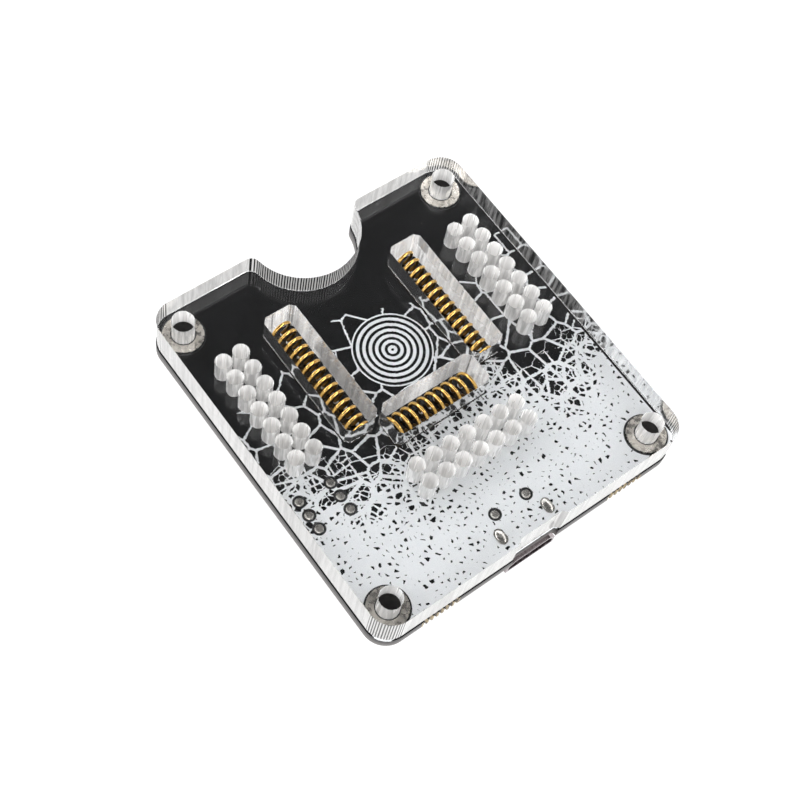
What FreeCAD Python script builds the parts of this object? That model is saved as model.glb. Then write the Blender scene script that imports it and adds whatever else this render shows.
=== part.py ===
import FreeCAD, Part
import math
import os

# Programming fixture for a small wireless module: a clear acrylic plate lies on a black circuit board,
# which stands on three header sockets. All sizes are in millimetres. The origin is at the middle of the
# footprint, level with the undersides of the headers. X runs along the front edge with the USB socket,
# Y runs towards the finger notch, and Z is up.

Vec = FreeCAD.Vector
UP = Vec(0, 0, 1)
MARGIN = 1.0            # how far a cutter reaches past the face that it opens

# Plate and board
plate_width = 46.4
plate_length = 49.2
plate_thickness = 5.0
corner_radius = 3.0
board_thickness = 1.6
board_overhang = 0.1    # the board stands this far proud of the plate all round

# Corner fixings
fixing_inset_x = 3.13
fixing_inset_y = 3.3
plate_hole_diameter = 2.9
board_hole_diameter = 3.2
ring_diameter = 5.2
ring_height = 0.3       # tinned rings that the plate rests on
screw_length = 4.5
screw_head_diameter = 5.5
screw_head_height = 1.8
screw_play = 0.02
thread_pitch = 0.5
thread_depth = 0.3
recess_width = 0.7
recess_span = 2.8
recess_depth = 0.9

# Finger notch in the back edge
notch_radius = 7.6
notch_centre_offset = 0.3   # the notch circle's centre lies this far outside the back edge
notch_shoulder_radius = 1.2

# Spring contacts, each one turn of round wire
contact_pitch = 1.27
contact_wire = 0.45
contact_height_target = 3.4
side_contact_count = 14
front_contact_count = 10
side_row_x = 9.65
side_row_y = 7.05
front_row_y = -3.28
leg_stagger = 0.3       # how far a leg's foot stays short of half the pitch
leg_sweep = 75.0        # degrees that each leg curls in under the turn
land_height = 0.1
land_width = 0.95
land_length = 2.6
contact_seat_gap = 0.02

# Slots in the plate over the contacts
slot_side_clearance = 0.65
side_slot_end_clearance = 0.38
side_slot_shift = 0.12  # the side slots lie this far behind the middle of their rows
front_slot_end_clearance = 0.74
slot_chamfer = 0.6
slot_web_chamfer = 0.8

# Header sockets under the board and the plate's clearance holes over their solder joints
header_pitch = 2.54
header_pins_long = 7
header_pins_across = 2
header_height = 8.5
header_inset_x = 5.42   # plate edge to the middle of a side header
side_header_y_offset = -0.57
front_header_y_offset = -7.69
header_edge_chamfer = 0.3
tail_hole_diameter = 1.0
tail_width = 0.6
tail_thickness = 0.3
tail_rise = 1.4
joint_base_diameter = 1.6
joint_tip_diameter = 0.75
joint_height = 1.1
clearance_hole_diameter = 2.1
cavity_size = 1.1
cavity_mouth = 0.75
cavity_floor = 1.0
cavity_play = 0.05
leaf_thickness = 0.15
leaf_length = 5.2
leaf_root = 0.6

# Latching push switch under the board
switch_inset_x = 4.52
switch_gap_y = 1.6      # from the left header's front end to the switch
switch_size = 5.8
switch_height = 5.0
switch_wall = 0.6
switch_pin_rows = 4.53
switch_pin_pitch = 2.03
switch_pin_width = 0.5
switch_hole_diameter = 0.9
plunger_length_x = 3.0
plunger_length_y = 2.2
plunger_rise = 3.0
plunger_play = 0.08
plunger_collar = 0.5
plunger_collar_height = 0.8
spring_wire = 0.25
spring_diameter = 1.8
spring_turns = 4

# Low solder domes that are trimmed flush under the plate
dome_diameter = 1.15
dome_height = 0.15

# Micro USB socket under the front edge
usb_width = 7.5
usb_depth = 5.0
usb_height = 2.45
usb_sheet = 0.3
usb_bevel = 0.9
usb_front_setback = 0.05
usb_recess_half_width = 3.5
usb_recess_depth = 0.5
usb_recess_radius = 0.4
usb_tab_spacing = 7.25
usb_tab_width = 0.9
usb_tab_hole_length = 1.7
usb_tab_setback = 2.82
usb_tab_dome_width = 1.3
usb_tab_dome_length = 2.1
usb_peg_spacing = 4.82
usb_peg_setback = 5.47
usb_peg_diameter = 0.6
usb_peg_hole = 0.75
usb_tongue_width = 3.7
usb_tongue_thickness = 0.6
usb_back_wall = 1.0
usb_contact_count = 5
usb_contact_pitch = 0.65
usb_contact_width = 0.25
usb_contact_thickness = 0.12
usb_contact_setback = 1.2

# Relief in the plate's front edge over the USB socket
relief_outer_half_width = 3.7
relief_inner_half_width = 3.15
relief_depth = 0.55

# Rough remains of the panel tabs on the board's front edge
tab_remain_x = 14.4
tab_remain_holes = 7
tab_remain_pitch = 0.76
tab_remain_hole_diameter = 0.5

# Small parts under the board
chip_length = 9.9
chip_width = 3.9
chip_height = 1.5
chip_standoff = 0.15
chip_lead_count = 8
chip_lead_pitch = 1.27
chip_lead_width = 0.42
chip_lead_reach = 1.05
chip_lead_thickness = 0.2
chip_y = 9.5
regulator_length = 6.5
regulator_width = 3.5
regulator_height = 1.6
regulator_lead_pitch = 2.3
regulator_lead_width = 0.75
regulator_tab_width = 3.0
regulator_x = 12.6
regulator_edge_gap = 6.1     # from the board's front edge to the middle of the regulator
transistor_length = 2.9
transistor_width = 1.3
transistor_height = 1.0
transistor_lead_pitch = 1.9
transistor_lead_width = 0.4
transistor_spacing = 4.2
transistor_x = -9.6
transistor_edge_gap = 5.7
passive_length = 1.6
passive_width = 0.8
capacitor_height = 0.8
resistor_height = 0.5
capacitor_spacing = 2.6
capacitor_y = 3.6
resistor_y = 0.8
passive_count = 4

# Levels worked out from the sizes above
board_bottom = header_height
board_top = board_bottom + board_thickness
plate_bottom = board_top + ring_height
plate_top = plate_bottom + plate_thickness
land_top = board_top + land_height

# Edges and centres worked out from the sizes above
plate_right = plate_width / 2
plate_back = plate_length / 2
plate_front = -plate_length / 2
board_front = plate_front - board_overhang
regulator_y = board_front + regulator_edge_gap
transistor_y = board_front + transistor_edge_gap
fixing_x = plate_right - fixing_inset_x
fixing_y = plate_back - fixing_inset_y
side_header_x = plate_right - header_inset_x
side_header_y = side_row_y + side_header_y_offset
front_header_y = front_row_y + front_header_y_offset
header_body_length = header_pins_long * header_pitch
header_body_width = header_pins_across * header_pitch
switch_x = -plate_right + switch_inset_x
switch_y = side_header_y - header_body_length / 2 - switch_gap_y - switch_size / 2


def box(x0, x1, y0, y1, z0, z1):
    """A block between two corners."""
    return Part.makeBox(x1 - x0, y1 - y0, z1 - z0, Vec(x0, y0, z0))


def block(x, y, size_x, size_y, z0, z1):
    """A block centred on a point in plan."""
    return box(x - size_x / 2, x + size_x / 2, y - size_y / 2, y + size_y / 2, z0, z1)


def rod(x, y, diameter, z0, z1):
    """An upright round bar."""
    return Part.makeCylinder(diameter / 2, z1 - z0, Vec(x, y, z0), UP)


def prism(points, z0, z1):
    """An upright block over an outline given by its corners."""
    corners = [Vec(x, y, z0) for x, y in points]
    wire = Part.makePolygon(corners + [corners[0]])
    return Part.Face(wire).extrude(UP * (z1 - z0))


def oval(x, y, width, length, z0, z1):
    """An upright block with round ends, longer along Y."""
    straight = (length - width) / 2
    middle = block(x, y, width, 2 * straight, z0, z1)
    ends = [rod(x, y - straight, width, z0, z1), rod(x, y + straight, width, z0, z1)]
    return middle.fuse(ends).removeSplitter()


def upright_edges(shape):
    """The straight edges of a shape that run along Z."""
    found = []
    for edge in shape.Edges:
        if len(edge.Vertexes) == 2:
            start = edge.Vertexes[0].Point
            end = edge.Vertexes[1].Point
            if abs(start.x - end.x) < 1e-6 and abs(start.y - end.y) < 1e-6:
                found.append(edge)
    return found


def group(solids):
    """Several separate solids that are one kind of piece."""
    return Part.makeCompound(solids)


def fixing_points():
    """The four corner fixings."""
    return [(sx * fixing_x, sy * fixing_y) for sx in (-1, 1) for sy in (-1, 1)]


def header_layout():
    """Centre of each header, and whether its long side runs along Y."""
    return {
        "header_left": (-side_header_x, side_header_y, True),
        "header_right": (side_header_x, side_header_y, True),
        "header_front": (0.0, front_header_y, False),
    }


def header_pin_points(name):
    """The pins of one header in plan."""
    centre_x, centre_y, along_y = header_layout()[name]
    points = []
    for row in range(header_pins_across):
        for place in range(header_pins_long):
            across = (row - (header_pins_across - 1) / 2) * header_pitch
            along = (place - (header_pins_long - 1) / 2) * header_pitch
            if along_y:
                points.append((centre_x + across, centre_y + along))
            else:
                points.append((centre_x + along, centre_y + across))
    return points


def all_pin_points():
    """The pins of the three headers."""
    points = []
    for name in header_layout():
        points += header_pin_points(name)
    return points


def switch_pin_points():
    """The six pins of the push switch."""
    points = []
    for side in (-1, 1):
        for place in (-1, 0, 1):
            points.append((switch_x + side * switch_pin_rows / 2, switch_y + place * switch_pin_pitch))
    return points


def usb_tab_points():
    """The two side tabs of the USB shell."""
    return [(side * usb_tab_spacing / 2, plate_front + usb_tab_setback) for side in (-1, 1)]


def usb_peg_points():
    """The two round pegs at the back of the USB shell."""
    return [(side * usb_peg_spacing / 2, plate_front + usb_peg_setback) for side in (-1, 1)]


def row_offsets(count):
    """Places along a row of contacts, about its middle."""
    return [(place - (count - 1) / 2) * contact_pitch for place in range(count)]


def contact_layout():
    """Name, centre and direction of each spring contact."""
    layout = {}
    for side, word in ((-1, "left"), (1, "right")):
        for number, offset in enumerate(row_offsets(side_contact_count), start=1):
            layout["contact_%s_%02d" % (word, number)] = (side * side_row_x, side_row_y + offset, True)
    for number, offset in enumerate(row_offsets(front_contact_count), start=1):
        layout["contact_front_%02d" % number] = (offset, front_row_y, False)
    return layout


def rounded_slab(overhang, z0, z1):
    """The shared outline with its rounded corners."""
    slab = block(0, 0, plate_width + 2 * overhang, plate_length + 2 * overhang, z0, z1)
    return slab.makeFillet(corner_radius + overhang, upright_edges(slab))


def notch_cutter(overhang, z0, z1):
    """The round finger notch with its two rounded shoulders, in an edge that stands out by the overhang."""
    edge_y = plate_back + overhang
    centre = Vec(0, plate_back + notch_centre_offset, z0)
    radius = notch_radius - overhang
    shoulder = notch_shoulder_radius + overhang
    shoulder_y = edge_y - shoulder
    reach = radius + shoulder
    shoulder_x = math.sqrt(reach ** 2 - (centre.y - shoulder_y) ** 2)
    edges = []
    meets = {}
    for side in (-1, 1):
        middle = Vec(side * shoulder_x, shoulder_y, z0)
        inward = (middle - centre) * (radius / reach)
        touch = centre + inward
        top = Vec(side * shoulder_x, edge_y, z0)
        bisector = (touch - middle) + (top - middle)
        bulge = middle + bisector * (shoulder / bisector.Length)
        edges.append(Part.Arc(top, bulge, touch).toShape())
        meets[side] = (touch, top)
    lowest = Vec(0, centre.y - radius, z0)
    edges.append(Part.Arc(meets[-1][0], lowest, meets[1][0]).toShape())
    outer = [Vec(side * shoulder_x, edge_y + MARGIN, z0) for side in (-1, 1)]
    edges.append(Part.makeLine(meets[1][1], outer[1]))
    edges.append(Part.makeLine(outer[1], outer[0]))
    edges.append(Part.makeLine(outer[0], meets[-1][1]))
    wire = Part.Wire(Part.__sortEdges__(edges))
    return Part.Face(wire).extrude(UP * (z1 - z0))


def chamfered_slot(x0, x1, y0, y1, cuts, z0, z1):
    """A slot with its corners cut off. The cuts go round from the corner at the lowest x and y."""
    front_left, front_right, back_right, back_left = cuts
    points = [
        (x0, y0 + front_left),
        (x0 + front_left, y0),
        (x1 - front_right, y0),
        (x1, y0 + front_right),
        (x1, y1 - back_right),
        (x1 - back_right, y1),
        (x0 + back_left, y1),
        (x0, y1 - back_left),
    ]
    return prism(points, z0, z1)


def slot_size(count, end_clearance):
    """Width and length of the slot over a row of contacts."""
    width = contact_height_target + 2 * slot_side_clearance
    length = (count - 0.5) * contact_pitch + contact_wire + 2 * end_clearance
    return width, length


def slot_cutters(z0, z1):
    """The three slots over the spring contacts."""
    cutters = []
    width, length = slot_size(side_contact_count, side_slot_end_clearance)
    y0 = side_row_y + side_slot_shift - length / 2
    y1 = side_row_y + side_slot_shift + length / 2
    for side in (-1, 1):
        x0 = side * side_row_x - width / 2
        x1 = side * side_row_x + width / 2
        cuts = [slot_chamfer] * 4
        cuts[1 if side < 0 else 0] = slot_web_chamfer
        cutters.append(chamfered_slot(x0, x1, y0, y1, cuts, z0, z1))
    width, length = slot_size(front_contact_count, front_slot_end_clearance)
    cuts = [slot_chamfer, slot_chamfer, slot_web_chamfer, slot_web_chamfer]
    y0 = front_row_y - width / 2
    y1 = front_row_y + width / 2
    cutters.append(chamfered_slot(-length / 2, length / 2, y0, y1, cuts, z0, z1))
    return cutters


def relief_cutter(z0, z1):
    """The shallow relief over the USB socket, with slanted ends."""
    points = [
        (-relief_outer_half_width, plate_front - MARGIN),
        (relief_outer_half_width, plate_front - MARGIN),
        (relief_outer_half_width, plate_front),
        (relief_inner_half_width, plate_front + relief_depth),
        (-relief_inner_half_width, plate_front + relief_depth),
        (-relief_outer_half_width, plate_front),
    ]
    return prism(points, z0, z1)


def make_cover_plate():
    """Clear acrylic plate with its notch, slots and holes."""
    z0 = plate_bottom - MARGIN
    z1 = plate_top + MARGIN
    cutters = [notch_cutter(0, z0, z1), relief_cutter(z0, z1)]
    cutters += slot_cutters(z0, z1)
    cutters += [rod(x, y, plate_hole_diameter, z0, z1) for x, y in fixing_points()]
    cutters += [rod(x, y, clearance_hole_diameter, z0, z1) for x, y in all_pin_points()]
    return rounded_slab(0, plate_bottom, plate_top).cut(cutters)


def usb_recess_cutter(z0, z1):
    """The recess in the board's front edge for the lip of the USB shell."""
    inner_y = board_front + usb_recess_depth + board_overhang
    shape = box(-usb_recess_half_width, usb_recess_half_width, board_front - MARGIN, inner_y, z0, z1)
    inner = [edge for edge in upright_edges(shape) if abs(edge.Vertexes[0].Point.y - inner_y) < 1e-6]
    return shape.makeFillet(usb_recess_radius, inner)


def tab_remain_cutters(z0, z1):
    """Half holes where the board was broken out of its panel."""
    cutters = []
    for side in (-1, 1):
        for place in range(tab_remain_holes):
            offset = (place - (tab_remain_holes - 1) / 2) * tab_remain_pitch
            cutters.append(rod(side * tab_remain_x + offset, board_front, tab_remain_hole_diameter, z0, z1))
    return cutters


def make_circuit_board():
    """The board with its plated holes."""
    z0 = board_bottom - MARGIN
    z1 = board_top + MARGIN
    cutters = [notch_cutter(board_overhang, z0, z1), usb_recess_cutter(z0, z1)]
    cutters += tab_remain_cutters(z0, z1)
    cutters += [rod(x, y, board_hole_diameter, z0, z1) for x, y in fixing_points()]
    cutters += [rod(x, y, tail_hole_diameter, z0, z1) for x, y in all_pin_points()]
    cutters += [rod(x, y, switch_hole_diameter, z0, z1) for x, y in switch_pin_points()]
    cutters += [rod(x, y, usb_peg_hole, z0, z1) for x, y in usb_peg_points()]
    for x, y in usb_tab_points():
        cutters.append(oval(x, y, usb_tab_width, usb_tab_hole_length, z0, z1))
    return rounded_slab(board_overhang, board_bottom, board_top).cut(cutters)


def make_board_lands():
    """Tinned rings at the corners and tinned lands under the contacts."""
    lands = []
    for x, y in fixing_points():
        ring = rod(x, y, ring_diameter, board_top, plate_bottom)
        lands.append(ring.cut(rod(x, y, board_hole_diameter, board_top - MARGIN, plate_bottom + MARGIN)))
    for x, y, along_y in contact_layout().values():
        size_x = land_length if along_y else land_width
        size_y = land_width if along_y else land_length
        lands.append(block(x, y, size_x, size_y, board_top, land_top))
    return group(lands)


def ring_segment(radius, plane_angle, start_angle, sweep):
    """Part of a wire ring that stands upright. The angles are in degrees: the plane's is about Z, and the
    other two go round the ring from its +X side, over the top."""
    circle = Part.makeCircle(contact_wire / 2, Vec(radius, 0, 0), UP)
    face = Part.Face(Part.Wire([circle]))
    face.rotate(Vec(0, 0, 0), Vec(0, -1, 0), start_angle)
    solid = face.revolve(Vec(0, 0, 0), Vec(0, -1, 0), sweep)
    solid.rotate(Vec(0, 0, 0), UP, plane_angle)
    return solid


def make_contact_turn():
    """One turn of wire about the Y axis, standing on the lands at the origin in plan. It leans like a turn
    of a coil, so that one leg stands a quarter of the pitch behind the middle and the other in front."""
    side_shift = contact_pitch / 4
    half_width = (contact_height_target - contact_wire) / 2
    top_radius = math.hypot(half_width, side_shift)
    foot_shift = contact_pitch / 2 - leg_stagger
    leg_radius = math.hypot(half_width, foot_shift - side_shift)
    reach_down = (leg_radius + contact_wire / 2) * math.sin(math.radians(leg_sweep))
    lean = math.degrees(math.atan2(side_shift, half_width))
    turn = ring_segment(top_radius, lean, 0, 180)
    toe = math.degrees(math.atan2(foot_shift - side_shift, half_width))
    for side in (1, -1):
        plane = -toe if side > 0 else 180 - toe
        leg = ring_segment(leg_radius, plane, -leg_sweep, leg_sweep)
        side_point = Vec(side * half_width, side * side_shift, 0)
        own_side = Vec(leg_radius * math.cos(math.radians(plane)), leg_radius * math.sin(math.radians(plane)), 0)
        leg.translate(side_point - own_side)
        turn = turn.fuse(leg)
    turn = turn.removeSplitter()
    turn.translate(Vec(0, 0, land_top + contact_seat_gap + reach_down))
    return turn


def make_contacts():
    """Every spring contact as its own piece."""
    pieces = {}
    turn = make_contact_turn()
    for name, (x, y, along_y) in contact_layout().items():
        piece = turn.copy()
        if not along_y:
            piece.rotate(Vec(0, 0, 0), UP, -90)
        piece.translate(Vec(x, y, 0))
        pieces[name] = piece
    return pieces


def make_board_screws():
    """Four screws that come up through the board into the plate."""
    crest = (plate_hole_diameter - 2 * screw_play) / 2
    root = crest - thread_depth
    profile = [Vec(0, 0, -screw_head_height)]
    profile.append(Vec(screw_head_diameter / 2 - 0.5 * screw_head_height, 0, -screw_head_height))
    profile.append(Vec(screw_head_diameter / 2, 0, -0.5 * screw_head_height))
    profile.append(Vec(screw_head_diameter / 2, 0, 0))
    level = 0.0
    profile.append(Vec(root, 0, level))
    while level + thread_pitch < screw_length:
        profile.append(Vec(crest, 0, level + 0.5 * thread_pitch))
        profile.append(Vec(root, 0, level + thread_pitch))
        level += thread_pitch
    profile.append(Vec(crest, 0, screw_length - 0.3 * thread_depth))
    profile.append(Vec(crest - 0.3 * thread_depth, 0, screw_length))
    profile.append(Vec(0, 0, screw_length))
    wire = Part.makePolygon(profile + [profile[0]])
    screw = Part.Face(wire).revolve(Vec(0, 0, 0), UP, 360)
    cross_top = -screw_head_height + recess_depth
    cross = [
        block(0, 0, recess_width, recess_span, -screw_head_height - MARGIN, cross_top),
        block(0, 0, recess_span, recess_width, -screw_head_height - MARGIN, cross_top),
    ]
    screw = screw.cut(cross)
    screws = []
    for x, y in fixing_points():
        copy = screw.copy()
        copy.translate(Vec(x, y, board_bottom))
        screws.append(copy)
    return group(screws)


def make_header(name):
    """The plastic body of one header socket, with a cavity for each pin."""
    centre_x, centre_y, along_y = header_layout()[name]
    size_x = header_body_width if along_y else header_body_length
    size_y = header_body_length if along_y else header_body_width
    body = block(centre_x, centre_y, size_x, size_y, 0, header_height)
    body = body.makeChamfer(header_edge_chamfer, upright_edges(body))
    cutters = []
    for x, y in header_pin_points(name):
        cutters.append(block(x, y, cavity_size, cavity_size, cavity_floor, header_height + MARGIN))
        cutters.append(block(x, y, cavity_mouth, cavity_mouth, -MARGIN, cavity_floor + MARGIN))
    return body.cut(cutters)


def make_header_contacts():
    """The forked contacts inside the headers, with tails that pass through the board."""
    size = cavity_size - 2 * cavity_play
    root_bottom = header_height - leaf_root
    fork = block(0, 0, size, size, root_bottom, header_height)
    leaf_offset = (size - leaf_thickness) / 2
    parts = [block(0, 0, tail_width, tail_thickness, header_height, board_top + tail_rise)]
    for side in (-1, 1):
        parts.append(block(side * leaf_offset, 0, leaf_thickness, size, root_bottom - leaf_length, root_bottom))
    fork = fork.fuse(parts).removeSplitter()
    forks = []
    for x, y in all_pin_points():
        copy = fork.copy()
        copy.translate(Vec(x, y, 0))
        forks.append(copy)
    return group(forks)


def low_dome(x, y, diameter):
    """A low round solder dome on the board, under the plate."""
    cone = Part.makeCone(diameter / 2, diameter / 2 - dome_height, dome_height)
    cone.translate(Vec(x, y, board_top))
    return cone


def make_solder_joints():
    """Solder cones round the header tails, and trimmed domes over the switch and USB feet."""
    joints = []
    cone = Part.makeCone(joint_base_diameter / 2, joint_tip_diameter / 2, joint_height)
    tail = block(0, 0, tail_width, tail_thickness, -MARGIN, joint_height + MARGIN)
    cone = cone.cut(tail)
    for x, y in all_pin_points():
        copy = cone.copy()
        copy.translate(Vec(x, y, board_top))
        joints.append(copy)
    joints += [low_dome(x, y, dome_diameter) for x, y in switch_pin_points()]
    joints += [low_dome(x, y, dome_diameter) for x, y in usb_peg_points()]
    for x, y in usb_tab_points():
        length = usb_tab_dome_length
        joints.append(oval(x, y, usb_tab_dome_width, length, board_top, board_top + dome_height))
    return group(joints)


def make_switch_body():
    """The push switch's case: a box closed towards the board, with an opening for the plunger."""
    z0 = board_bottom - switch_height
    case = block(switch_x, switch_y, switch_size, switch_size, z0, board_bottom)
    inner = switch_size - 2 * switch_wall
    hollow = block(switch_x, switch_y, inner, inner, z0 + switch_wall, board_bottom - switch_wall)
    opening_x = plunger_length_x + 2 * plunger_play
    opening_y = plunger_length_y + 2 * plunger_play
    opening = block(switch_x, switch_y, opening_x, opening_y, z0 - MARGIN, z0 + switch_wall + MARGIN)
    return case.cut([hollow, opening])


def plunger_collar_bottom():
    """The level of the plunger's collar, just inside the case's face."""
    return board_bottom - switch_height + switch_wall + plunger_play


def make_switch_plunger():
    """The square plunger with the collar that keeps it in the case."""
    tip = board_bottom - switch_height - plunger_rise
    collar_bottom = plunger_collar_bottom()
    collar_top = collar_bottom + plunger_collar_height
    stem = block(switch_x, switch_y, plunger_length_x, plunger_length_y, tip, collar_top)
    collar_x = plunger_length_x + 2 * plunger_collar
    collar_y = plunger_length_y + 2 * plunger_collar
    collar = block(switch_x, switch_y, collar_x, collar_y, collar_bottom, collar_top)
    plunger = stem.fuse(collar).removeSplitter()
    tip_edges = [edge for edge in plunger.Edges if edge.BoundBox.ZMax < tip + 1e-6]
    return plunger.makeChamfer(0.2, tip_edges)


def make_switch_spring():
    """The plunger's return spring, as stacked rings of wire joined by short posts."""
    bottom = plunger_collar_bottom() + plunger_collar_height
    top = board_bottom - switch_wall
    ring_radius = (spring_diameter - spring_wire) / 2
    step = (top - bottom - spring_wire) / (spring_turns - 1)
    pieces = []
    for number in range(spring_turns):
        level = bottom + spring_wire / 2 + number * step
        pieces.append(Part.makeTorus(ring_radius, spring_wire / 2, Vec(switch_x, switch_y, level), UP))
    spring = pieces[0].fuse(pieces[1:])
    for number in range(spring_turns - 1):
        level = bottom + spring_wire / 2 + number * step
        side = 1 if number % 2 == 0 else -1
        post = rod(switch_x + side * ring_radius, switch_y, 0.8 * spring_wire, level, level + step)
        spring = spring.fuse(post)
    return spring.removeSplitter()


def make_switch_pins():
    """The six flat pins of the push switch."""
    pins = []
    for x, y in switch_pin_points():
        pins.append(block(x, y, tail_thickness, switch_pin_width, board_bottom, board_top))
    return group(pins)


def usb_profile(inset, z_shift=0.0):
    """The shell's cross-section, wide below and bevelled next to the board."""
    half = usb_width / 2 - inset
    top = board_bottom - inset + z_shift
    bottom = board_bottom - usb_height + inset + z_shift
    bevel = usb_bevel - 0.4 * inset
    return [
        (-half, bottom),
        (half, bottom),
        (half, top - bevel),
        (half - bevel, top),
        (-half + bevel, top),
        (-half, top - bevel),
    ]


def usb_bar(inset, y0, y1):
    """A bar of the shell's cross-section between two places along Y."""
    corners = [Vec(x, y0, z) for x, z in usb_profile(inset)]
    wire = Part.makePolygon(corners + [corners[0]])
    return Part.Face(wire).extrude(Vec(0, y1 - y0, 0))


def usb_front():
    """The mouth of the USB shell."""
    return plate_front + usb_front_setback


def make_usb_shell():
    """The folded metal shell, with side tabs and pegs that pass through the board."""
    y0 = usb_front()
    y1 = y0 + usb_depth
    shell = usb_bar(0, y0, y1).cut(usb_bar(usb_sheet, y0 - MARGIN, y1 - usb_sheet))
    feet = []
    for x, y in usb_tab_points():
        side = 1 if x > 0 else -1
        inner_x = side * (usb_width / 2 - usb_sheet)
        outer_x = side * usb_width / 2
        low = min(inner_x, outer_x)
        high = max(inner_x, outer_x)
        tab_length = usb_tab_hole_length - usb_tab_width
        feet.append(box(low, high, y - tab_length / 2, y + tab_length / 2, board_bottom - 1.2 * usb_bevel, board_top))
    for x, y in usb_peg_points():
        reach = box(x - 0.5 * usb_peg_diameter, x + 0.5 * usb_peg_diameter, y1 - usb_sheet, y + 0.5 * usb_peg_diameter,
                    board_bottom - usb_sheet, board_bottom)
        feet.append(reach)
        feet.append(rod(x, y, usb_peg_diameter, board_bottom - usb_sheet, board_top))
    return shell.fuse(feet).removeSplitter()


def make_usb_tongue():
    """The plastic back wall and tongue inside the USB shell."""
    y_back = usb_front() + usb_depth - usb_sheet
    wall = usb_bar(usb_sheet, y_back - usb_back_wall, y_back)
    level = board_bottom - usb_height / 2
    tongue = box(-usb_tongue_width / 2, usb_tongue_width / 2, usb_front() + 0.8, y_back - usb_back_wall,
                 level - usb_tongue_thickness / 2, level + usb_tongue_thickness / 2)
    return wall.fuse(tongue).removeSplitter()


def make_usb_contacts():
    """Five flat springs under the tongue."""
    y_back = usb_front() + usb_depth - usb_sheet - usb_back_wall
    top = board_bottom - usb_height / 2 - usb_tongue_thickness / 2
    strips = []
    for place in range(usb_contact_count):
        x = (place - (usb_contact_count - 1) / 2) * usb_contact_pitch
        strips.append(box(x - usb_contact_width / 2, x + usb_contact_width / 2, usb_front() + usb_contact_setback, y_back,
                          top - usb_contact_thickness, top))
    return group(strips)


def chip_body(x, y, size_x, size_y, height):
    """A moulded chip body under the board, with its lower edges bevelled."""
    top = board_bottom - chip_standoff
    body = block(x, y, size_x, size_y, top - height, top)
    lower = [edge for edge in body.Edges if edge.BoundBox.ZMax < top - height + 1e-6]
    return body.makeChamfer(0.15, lower)


def gull_lead(x, y, direction, width, reach, height):
    """A bent lead that leaves a body at mid height along +Y or -Y and lands on the board."""
    thick = chip_lead_thickness
    middle = board_bottom - chip_standoff - height / 2
    section = [
        (0.0, middle - thick / 2),
        (0.5 * reach, middle - thick / 2),
        (0.5 * reach, board_bottom - thick),
        (reach, board_bottom - thick),
        (reach, board_bottom),
        (0.5 * reach - thick, board_bottom),
        (0.5 * reach - thick, middle + thick / 2),
        (0.0, middle + thick / 2),
    ]
    corners = [Vec(x - width / 2, y + direction * along, level) for along, level in section]
    wire = Part.makePolygon(corners + [corners[0]])
    return Part.Face(wire).extrude(Vec(width, 0, 0))


def make_serial_chip():
    """The USB-to-serial chip."""
    return chip_body(0, chip_y, chip_length, chip_width, chip_height)


def make_regulator():
    """The voltage regulator."""
    return chip_body(regulator_x, regulator_y, regulator_length, regulator_width, regulator_height)


def transistor_centres():
    """The two transistors of the reset circuit."""
    return [(transistor_x + side * transistor_spacing / 2, transistor_y) for side in (-1, 1)]


def make_transistors():
    """The bodies of the two transistors."""
    bodies = []
    for x, y in transistor_centres():
        bodies.append(chip_body(x, y, transistor_length, transistor_width, transistor_height))
    return group(bodies)


def make_chip_leads():
    """The leads of the chip, the regulator and the transistors."""
    leads = []
    for direction in (-1, 1):
        for place in range(chip_lead_count):
            x = (place - (chip_lead_count - 1) / 2) * chip_lead_pitch
            y = chip_y + direction * chip_width / 2
            leads.append(gull_lead(x, y, direction, chip_lead_width, chip_lead_reach, chip_height))
    for place in (-1, 0, 1):
        x = regulator_x + place * regulator_lead_pitch
        y = regulator_y - regulator_width / 2
        leads.append(gull_lead(x, y, -1, regulator_lead_width, chip_lead_reach, regulator_height))
    y = regulator_y + regulator_width / 2
    leads.append(gull_lead(regulator_x, y, 1, regulator_tab_width, chip_lead_reach, regulator_height))
    for x, y in transistor_centres():
        reach = 0.6 * chip_lead_reach
        for side in (-1, 1):
            foot_x = x + side * transistor_lead_pitch / 2
            leads.append(gull_lead(foot_x, y - transistor_width / 2, -1, transistor_lead_width, reach, transistor_height))
        leads.append(gull_lead(x, y + transistor_width / 2, 1, transistor_lead_width, reach, transistor_height))
    return group(leads)


def make_passives(y, height):
    """A row of small two-ended parts under the board."""
    parts = []
    for place in range(passive_count):
        x = (place - (passive_count - 1) / 2) * capacitor_spacing
        parts.append(block(x, y, passive_width, passive_length, board_bottom - height, board_bottom))
    return group(parts)


def make_all():
    """Every piece of the fixture by its name."""
    pieces = {
        "cover_plate": make_cover_plate(),
        "circuit_board": make_circuit_board(),
        "board_lands": make_board_lands(),
        "board_screws": make_board_screws(),
        "header_contacts": make_header_contacts(),
        "solder_joints": make_solder_joints(),
        "switch_body": make_switch_body(),
        "switch_plunger": make_switch_plunger(),
        "switch_spring": make_switch_spring(),
        "switch_pins": make_switch_pins(),
        "usb_shell": make_usb_shell(),
        "usb_tongue": make_usb_tongue(),
        "usb_contacts": make_usb_contacts(),
        "serial_chip": make_serial_chip(),
        "regulator": make_regulator(),
        "transistors": make_transistors(),
        "chip_leads": make_chip_leads(),
        "capacitors": make_passives(capacitor_y, capacitor_height),
        "resistors": make_passives(resistor_y, resistor_height),
    }
    for name in header_layout():
        pieces[name] = make_header(name)
    pieces.update(make_contacts())
    return pieces


os.makedirs("parts", exist_ok=True)
for node, shape in make_all().items():
    shape.exportStep("parts/%s.step" % node)
    print(node, len(shape.Solids), "solids", round(shape.Volume, 3), "mm3", "valid" if shape.isValid() else "NOT VALID")
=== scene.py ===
import math
import random
import bpy
from mathutils import Matrix, Vector, noise


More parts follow.
